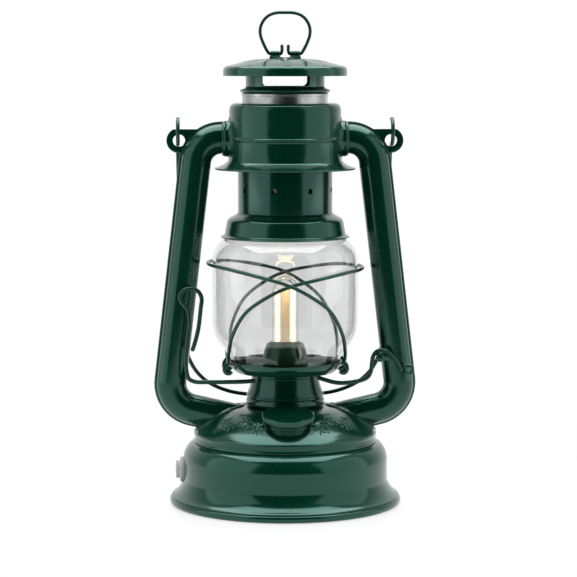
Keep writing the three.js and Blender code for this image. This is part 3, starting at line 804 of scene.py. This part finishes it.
canopy = [(38.5, 159.9), (38.0, 160.5), (36.6, 161.0), (36.0, 161.8), (35.8, 163.2), (35.2, 166.4),
          (34.8, 168.6), (34.4, 170.0), (33.2, 171.2), (31.0, 172.4), (29.2, 173.3), (28.2, 174.4)]
lathe_piece("canopy_shell", wall(canopy, THIN), "chimney", replaces=("chimney_canopy",), radius=0.8,
            facets=192)
chimney = lathe_piece("chimney_sleeve",
                      wall([(SLEEVE_R, 174.2), (SLEEVE_R, 193), (SLEEVE_R, 212)], THIN), "chimney",
                      replaces=("chimney_tube",), radius=0.3, facets=128)
holes = []
for i in range(HOLES):
    tilt = Matrix.Rotation(math.radians(FIRST_HOLE + 360 / HOLES * i), 4,
                           "Z") @ Matrix.Translation((28, 0, 188.2)) @ SIDEWAYS
    holes.append(moved(turned([(0, -3), (1.65, -3), (1.65, 3), (0, 3)], False, 24), tilt))
cut(chimney, holes)
lathe_piece("flue_tube", wall([(FLUE_R, 178), (FLUE_R, 210), (FLUE_R, 244.9)], THIN), "chimney",
            "galvanised_steel",
            ("inner_tube",), radius=0.3, facets=128)
lathe_piece("flue_band", [(25.3, 243.6), (25.75, 243.8), (25.75, 244.9), (25.3, 245.0)], "chimney",
            "galvanised_steel", radius=0.2, facets=128)
vent_flange = [(22.7, 244.9), (25.0, 244.9), (25.8, 245.4), (26.6, 246.0), (26.9, 246.6), (26.7, 247.3),
               (25.8, 247.7), (24.6, 248.0), (23.9, 248.5), (23.5, 249.2), (22.7, 249.2)]
lathe_piece("vent_flange", vent_flange, "chimney", replaces=("vent_ring",), radius=0.3)
vent = lathe_piece("vent_cage", wall([(VENT_R, 248.2), (VENT_R, 255), (VENT_R, 262.3)], SHEET), "chimney",
                   replaces=("vent_wall",), radius=0.2, facets=128)
WINDOW_X, WINDOW_TOP, WINDOW_SILL = 13.9, 259.6, 252.2
WINDOW_CORNER = 2.8
window = [(-WINDOW_X, WINDOW_TOP), (WINDOW_X, WINDOW_TOP), (WINDOW_X, WINDOW_SILL)]
for degrees in range(10, 91, 16):
    a = math.radians(degrees)
    window.append((11.1 + WINDOW_CORNER * math.cos(a), 252.1 - WINDOW_CORNER * math.sin(a)))
window += [(-x, z) for x, z in reversed(window[3:])] + [(-WINDOW_X, WINDOW_SILL)]
corners = len(window)
window_verts = [(x, y, z) for y in (-40, 40) for x, z in window]
window_faces = [tuple(range(corners)), tuple(range(2 * corners - 1, corners - 1, -1))]
for i in range(corners):
    ahead = (i + 1) % corners
    window_faces.append((i, i + corners, ahead + corners, ahead))
cut(vent, [(window_verts, window_faces)])

DIMPLES = 9
DIMPLE_R, DIMPLE_DEPTH = 34.4, 0.45
PETALS_IN, PETALS_OUT = 14, 29


def hood_relief(r, z, angle):
    """Small dimples round the rim and a ring of pressed petals on the dome."""
    if z > 259.5:
        step = 2 * math.pi / DIMPLES
        off = (angle - math.radians(-90) + step / 2) % step - step / 2
        gap = math.hypot(off * DIMPLE_R, (r - DIMPLE_R) * 1.4)
        z -= DIMPLE_DEPTH * math.exp(-(gap / 1.5) ** 2)
        if PETALS_IN < r < PETALS_OUT:
            swell = max(0.0, math.cos(12 * angle)) ** 0.7
            z += 0.30 * math.sin(math.pi * (r - PETALS_IN) / (PETALS_OUT - PETALS_IN)) * swell
    return r, z


hood_top = [(36.8, 255.4), (36.8, 256.8), (36.8, 258.6), (36.6, 259.7), (36.0, 260.5), (35.2, 261.0),
            (34.4, 261.2), (33.4, 261.45)]
hood_top += [(r, 266.2 - 0.0042 * r ** 2) for r in range(32, 11, -1)]
hood_top += [(10.5, 265.75), (9.5, 265.85), (8.8, 266.1), (8.0, 266.3), (4, 266.4), (0.01, 266.45)]
hood_under = [(0.01, 265.6), (8, 265.5), (12, 264.9), (20, 263.7), (28, 262.0), (34, 260.4),
              (35.6, 259.6), (36.1, 258.6), (36.1, 255.4)]
lathe_piece("hood_cover", hood_under + hood_top, "chimney", replaces=("hood",), radius=0.0, facets=288,
            shape=hood_relief)
lathe_piece("hood_hem", [(36.0, 255.35), (36.8, 255.35), (36.8, 256.3), (36.0, 256.3)], "chimney",
            radius=0.3, facets=192)
RING_Z = 268.4
for name, side in (("left", -1), ("right", 1)):
    matrix = Matrix.Translation((3.2 if side > 0 else -8.7, 0, RING_Z)) @ SIDEWAYS
    shell = moved(turned(softened([(1.3, 0), (1.75, 0), (1.75, 5.5), (1.3, 5.5)], 0.15, True), True, 32),
                  matrix)
    foot_x = (2.7, 9.3) if side > 0 else (-9.3, -2.7)
    pad = block(foot_x[0], foot_x[1], -2.6, 2.6, 266.0, 267.1, 0.35)
    build(f"ring_tab_{name}", *joined(shell, pad), "chimney", "green_enamel")

# ---------------------------------------------------------------- lift ring, bail and controls
def wire_piece(name, points, radius, body, replaces, per=7):
    """A bent wire with rounded ends through the points."""
    path = smooth_path(points, per)
    shape = swept(path, circle(radius, 16), cap_radius=radius)
    return build(name, *shape, body, "dark_wire", replaces, sharp=60)


ring_half = [(1.9, RING_Z + 4.6), (1.9, RING_Z + 1.5), (2.7, RING_Z), (6, RING_Z), (9.2, RING_Z + 0.1),
             (10.8, RING_Z + 2), (13.6, RING_Z + 7.8), (14.7, RING_Z + 11.6), (14.5, RING_Z + 15.6),
             (12.8, RING_Z + 19.4), (9.8, RING_Z + 22.4), (5.4, RING_Z + 24)]
ring_points = [(x, 0, z) for x, z in ring_half] + [(0, 0, RING_Z + 24.2)]
ring_points += [(-x, 0, z) for x, z in reversed(ring_half)]
wire_piece("ring_wire", ring_points, 0.98, "lift_ring", ("lift_ring",))

HOOK_X, HOOK_R, HOOK_Z = 63.6, 7.4, 222.6
hook = []
for degrees in range(200, 9, -27):
    a = math.radians(degrees)
    hook.append((HOOK_X, -HOOK_R * math.sin(a), HOOK_Z - HOOK_R * math.cos(a)))
leg = [(63.6, 1.6, 215.1), (63.7, 7, 214), (63.7, 11, 210.6), (63.6, 12.8, 204), (63.3, 13.4, 188),
       (62.8, 14.6, 160), (61.8, 16.6, 125), (61, 18, 104), (59.8, 19.2, 92.6), (57.6, 20.6, 84.4),
       (53, 22.2, 76), (46.2, 23.6, 69.4), (35.5, 25, 64.2), (24, 26, 61.6)]
bail_right = hook + leg
bail_points = bail_right + [(0, 26.8, 60.4)] + [(-x, y, z) for x, y, z in reversed(bail_right)]
wire_piece("bail_wire", bail_points, 1.18, "bail", ("bail",))

CONTROL_Y = -12.4
lever = [(19.4, 76.6), (24, 75.1), (30, 73.6), (36, 73.5), (45, 75), (48.8, 77), (50.6, 80.6),
         (51.2, 85.2), (51.8, 89), (53.4, 91.6), (56.2, 92.9), (59.6, 92.4), (62.8, 89.8), (66.4, 84.8),
         (68.4, 81.2)]
wire_piece("lever_wire", [(x, CONTROL_Y, z) for x, z in lever], 1.28, "lift_lever", ("lift_lever",))
key = [(-19.4, 75), (-24, 74.6), (-45, 74.4), (-54.6, 74.8), (-57.8, 76.6), (-58.9, 80), (-59.6, 87),
       (-59, 95), (-57.9, 104), (-57.2, 111), (-57.9, 117), (-60.6, 120.6), (-62.7, 124.2), (-61.7, 128),
       (-57.6, 130.2), (-52.6, 129), (-50.1, 125), (-50.6, 118), (-52.1, 106), (-54.2, 97.6),
       (-55.4, 94)]
wire_piece("key_wire", [(x, CONTROL_Y, z) for x, z in key], 1.28, "dimmer_key", ("dimmer_key",))

catch = [(70.0, -12.4, 83.2), (73.2, -12.6, 83.3), (75.2, -12.5, 82.9), (75.5, -12.4, 81.2),
         (75.3, -12.4, 79.4), (73.6, -12.4, 78.9), (71.0, -12.5, 79.3)]
build("catch_hook", *swept(smooth_path(catch, 6), [(a * 0.62, b * 1.0) for a, b in circle(1.0, 14)],
                           cap_radius=0.4),
      "frame", "green_enamel", ("lever_catch",), sharp=60)
build("catch_foot", *swept(smooth_path([(71.4, -12.2, 82.4), (71.2, -10.8, 82.4), (70.9, -9.2, 82.2)], 5),
                           [(a, b * 1.4) for a, b in circle(0.8, 14)], cap_radius=0.3), "frame",
                           "green_enamel", sharp=60)
pin_turn = Matrix.Translation((55.8, -14.9, 88.6)) @ Matrix.Rotation(math.radians(-90), 4, "X")
pin_line = [(0, -0.7), (1.6, -0.65), (2.4, -0.3), (2.55, 0.4), (2.2, 0.9), (1.8, 1.2), (1.8, 5.0),
            (0, 5.0)]
build("pin_rivet", *joined(moved(turned(softened(pin_line, 0.25), False, 40), pin_turn),
                           block(54.0, 62.4, -9.9, -9.1, 86.2, 91.0, 0.3)), "frame", "green_enamel",
      ("lever_pin",))

# ---------------------------------------------------------------- globe and its guard
glass = [(31.9, 84.0), (32.6, 86.0), (33.8, 88.4), (35.4, 91.2), (37.6, 94.4), (39.8, 97.4),
         (41.5, 100.2), (42.6, 103.4), (43.2, 106.6), (43.4, 110), (43.4, 128), (43.4, 144),
         (43.2, 147.4), (42.6, 150.4), (41.2, 153.4), (39.2, 156), (36.8, 158.4), (35.0, 160.2),
         (34.2, 161.8), (33.9, 163)]
lathe_piece("globe_glass", wall(glass, 1.5), "carriage", "clear_glass", ("globe",), radius=1.2, facets=128)
plate = [(14.4, 81.3), (18, 80.1), (21.4, 78.7), (23, 78.5), (27, 78.5), (29.2, 79.0), (31.4, 80.6),
         (33.0, 82.4), (33.9, 84.2), (34.2, 85.7), (33.5, 85.7), (33.1, 84.4), (32.2, 82.8),
         (30.6, 81.3), (28.8, 79.9), (26.8, 79.3), (23.2, 79.3), (21.6, 79.6), (18.2, 81), (14.4, 82.1)]
lathe_piece("plate_dish", plate, "carriage", replaces=("globe_plate",), radius=0.5, facets=160)
hoop_front = [(-34.4, -9.4, 84.2), (-34.6, -18, 88.4), (-34.2, -25.6, 94.5), (-32.4, -32, 104),
              (-24.8, -39.4, 118.4), (-12.8, -44.4, 127.8), (0, -46, 134), (20.2, -41.8, 138.6),
              (34, -31.4, 140.8), (43, -17.5, 141.4)]
hoop_points = hoop_front + [(46.3, 0, 141.5)] + [(x, -y, z) for x, y, z in reversed(hoop_front)]


def hoop(spread, side, rise):
    """The guard wire's points, mirrored, spread and raised for the second wire."""
    return [(side * x, y * (spread if abs(x) < 15 else 1), z + rise * (34.6 + x) / 80) for x, y,
            z in hoop_points]


wire_piece("guard_wire_a", hoop(1.0, 1, 0), 1.08, "carriage", ("guard_hoop_a",), per=10)
wire_piece("guard_wire_b", hoop(1.075, -1, 2.8), 1.08, "carriage", ("guard_hoop_b",), per=10)
for name, side in (("left", -1), ("right", 1)):
    ears = []
    for y in (-9.4, 9.4):
        lug = [(33.2, y, 85.4), (34.9, y, 84.8), (36.0, y, 83.0), (36.2, y, 81.0), (35.3, y, 79.6),
               (33.6, y, 79.4), (32.6, y, 80.4)]
        eye = swept(smooth_path(lug, 5), [(a * 1.5, b * 0.55) for a, b in circle(1.0, 12)], up=UP_Y,
                    cap_radius=0.2)
        ears.append(eye if side > 0 else mirror_x(eye))
    build(f"plate_clips_{name}", *joined(*ears), "carriage", "green_enamel")

# ---------------------------------------------------------------- stage, lights, camera
FLOOR_SIDE, FLOOR_FRONT, FLOOR_BACK = 4, -0.62, 5
FADE_START, FADE_END = 0.05, 0.26
WHITE = (1, 1, 1, 1)

floor_mesh = bpy.data.meshes.new("floor")
floor_mesh.from_pydata([(-FLOOR_SIDE, FLOOR_FRONT, 0), (FLOOR_SIDE, FLOOR_FRONT, 0),
                        (FLOOR_SIDE, FLOOR_BACK, 0),
                        (-FLOOR_SIDE, FLOOR_BACK, 0)], [], [(0, 1, 2, 3)])
floor = bpy.data.objects.new("floor", floor_mesh)
bpy.context.scene.collection.objects.link(floor)
floor_material, floor_tree, floor_shader, floor_coords = new_material("floor_paper")
floor_shader.inputs["Base Color"].default_value = (0.9, 0.9, 0.9, 1)
floor_shader.inputs["Roughness"].default_value = 0.35
reach = floor_tree.nodes.new("ShaderNodeVectorMath")
reach.operation = "LENGTH"
floor_tree.links.new(floor_coords, reach.inputs[0])
fade = add_node(floor_tree, "ShaderNodeMapRange", From_Min=FADE_START, From_Max=FADE_END, To_Min=0.55,
                To_Max=1.0)
fade.interpolation_type = "SMOOTHSTEP"
floor_tree.links.new(reach.outputs["Value"], fade.inputs["Value"])
shine = add_node(floor_tree, "ShaderNodeEmission", Color=WHITE, Strength=1.0)
both = floor_tree.nodes.new("ShaderNodeMixShader")
floor_tree.links.new(fade.outputs["Result"], both.inputs["Fac"])
floor_tree.links.new(floor_shader.outputs["BSDF"], both.inputs[1])
floor_tree.links.new(shine.outputs["Emission"], both.inputs[2])
floor_tree.links.new(both.outputs["Shader"], floor_tree.nodes["Material Output"].inputs["Surface"])
floor_mesh.materials.append(floor_material)

world = bpy.data.worlds.new("studio")
bpy.context.scene.world = world
world.use_nodes = True
sky = world.node_tree
sky.nodes.clear()
direction = sky.nodes.new("ShaderNodeTexCoord")
split = sky.nodes.new("ShaderNodeSeparateXYZ")
sky.links.new(direction.outputs["Generated"], split.inputs["Vector"])
front_to_back = add_node(sky, "ShaderNodeMapRange", From_Min=-0.05, From_Max=0.8, To_Min=0.0, To_Max=1.0)
sky.links.new(split.outputs["Y"], front_to_back.inputs["Value"])
gleam = add_node(sky, "ShaderNodeBackground", Strength=1.0)
sky.links.new(front_to_back.outputs["Result"], gleam.inputs["Color"])
white = add_node(sky, "ShaderNodeBackground", Color=WHITE, Strength=1.05)
rays = sky.nodes.new("ShaderNodeLightPath")
blend = sky.nodes.new("ShaderNodeMixShader")
sky.links.new(rays.outputs["Is Camera Ray"], blend.inputs["Fac"])
sky.links.new(gleam.outputs["Background"], blend.inputs[1])
sky.links.new(white.outputs["Background"], blend.inputs[2])
output = sky.nodes.new("ShaderNodeOutputWorld")
sky.links.new(blend.outputs["Shader"], output.inputs["Surface"])


def softbox(name, place, aim, width, height, watts):
    """A rectangular light facing a point."""
    data = bpy.data.lights.new(name, "AREA")
    data.shape = "RECTANGLE"
    data.size, data.size_y = width, height
    data.energy = watts
    lamp_object = bpy.data.objects.new(name, data)
    bpy.context.scene.collection.objects.link(lamp_object)
    lamp_object.location = place
    lamp_object.rotation_euler = (Vector(aim) - Vector(place)).to_track_quat("-Z", "Y").to_euler()


for name, side, watts in (("key_left", -1, 5.6), ("key_right", 1, 5.0)):
    softbox(name, (side * 0.95, -0.36, 0.42), (0, 0, 0.20), 1.25, 1.3, watts)
softbox("top", (0, 0.1, 1.15), (0, 0.0, 0.1), 1.5, 1.2, 24)
warm = bpy.data.lights.new("lamp_light", "POINT")
warm.energy = 0.5
warm.color = (1.0, 0.72, 0.36)
warm.shadow_soft_size = 0.006
warm_object = bpy.data.objects.new("lamp_light", warm)
bpy.context.scene.collection.objects.link(warm_object)
warm_object.location = (0, 0, 0.134)
warm_object.visible_camera = False
warm_object.visible_transmission = False

VIEW_TURN, VIEW_PITCH = math.radians(2.6), math.radians(5.816)
DISTANCE, EYE, ASIDE = 1.3342, 0.2647, 0.002
FOCAL_LENGTH = 139.95
camera_data = bpy.data.cameras.new("camera")
camera_data.sensor_width = 36
camera_data.lens = FOCAL_LENGTH
camera_data.clip_start = 0.05
camera = bpy.data.objects.new("camera", camera_data)
bpy.context.scene.collection.objects.link(camera)
camera.location = (-DISTANCE * math.sin(VIEW_TURN) + ASIDE, -DISTANCE * math.cos(VIEW_TURN), EYE)
camera.rotation_euler = (math.pi / 2 - VIEW_PITCH, 0, -VIEW_TURN)
bpy.context.scene.camera = camera
bpy.context.scene.view_settings.view_transform = "Standard"
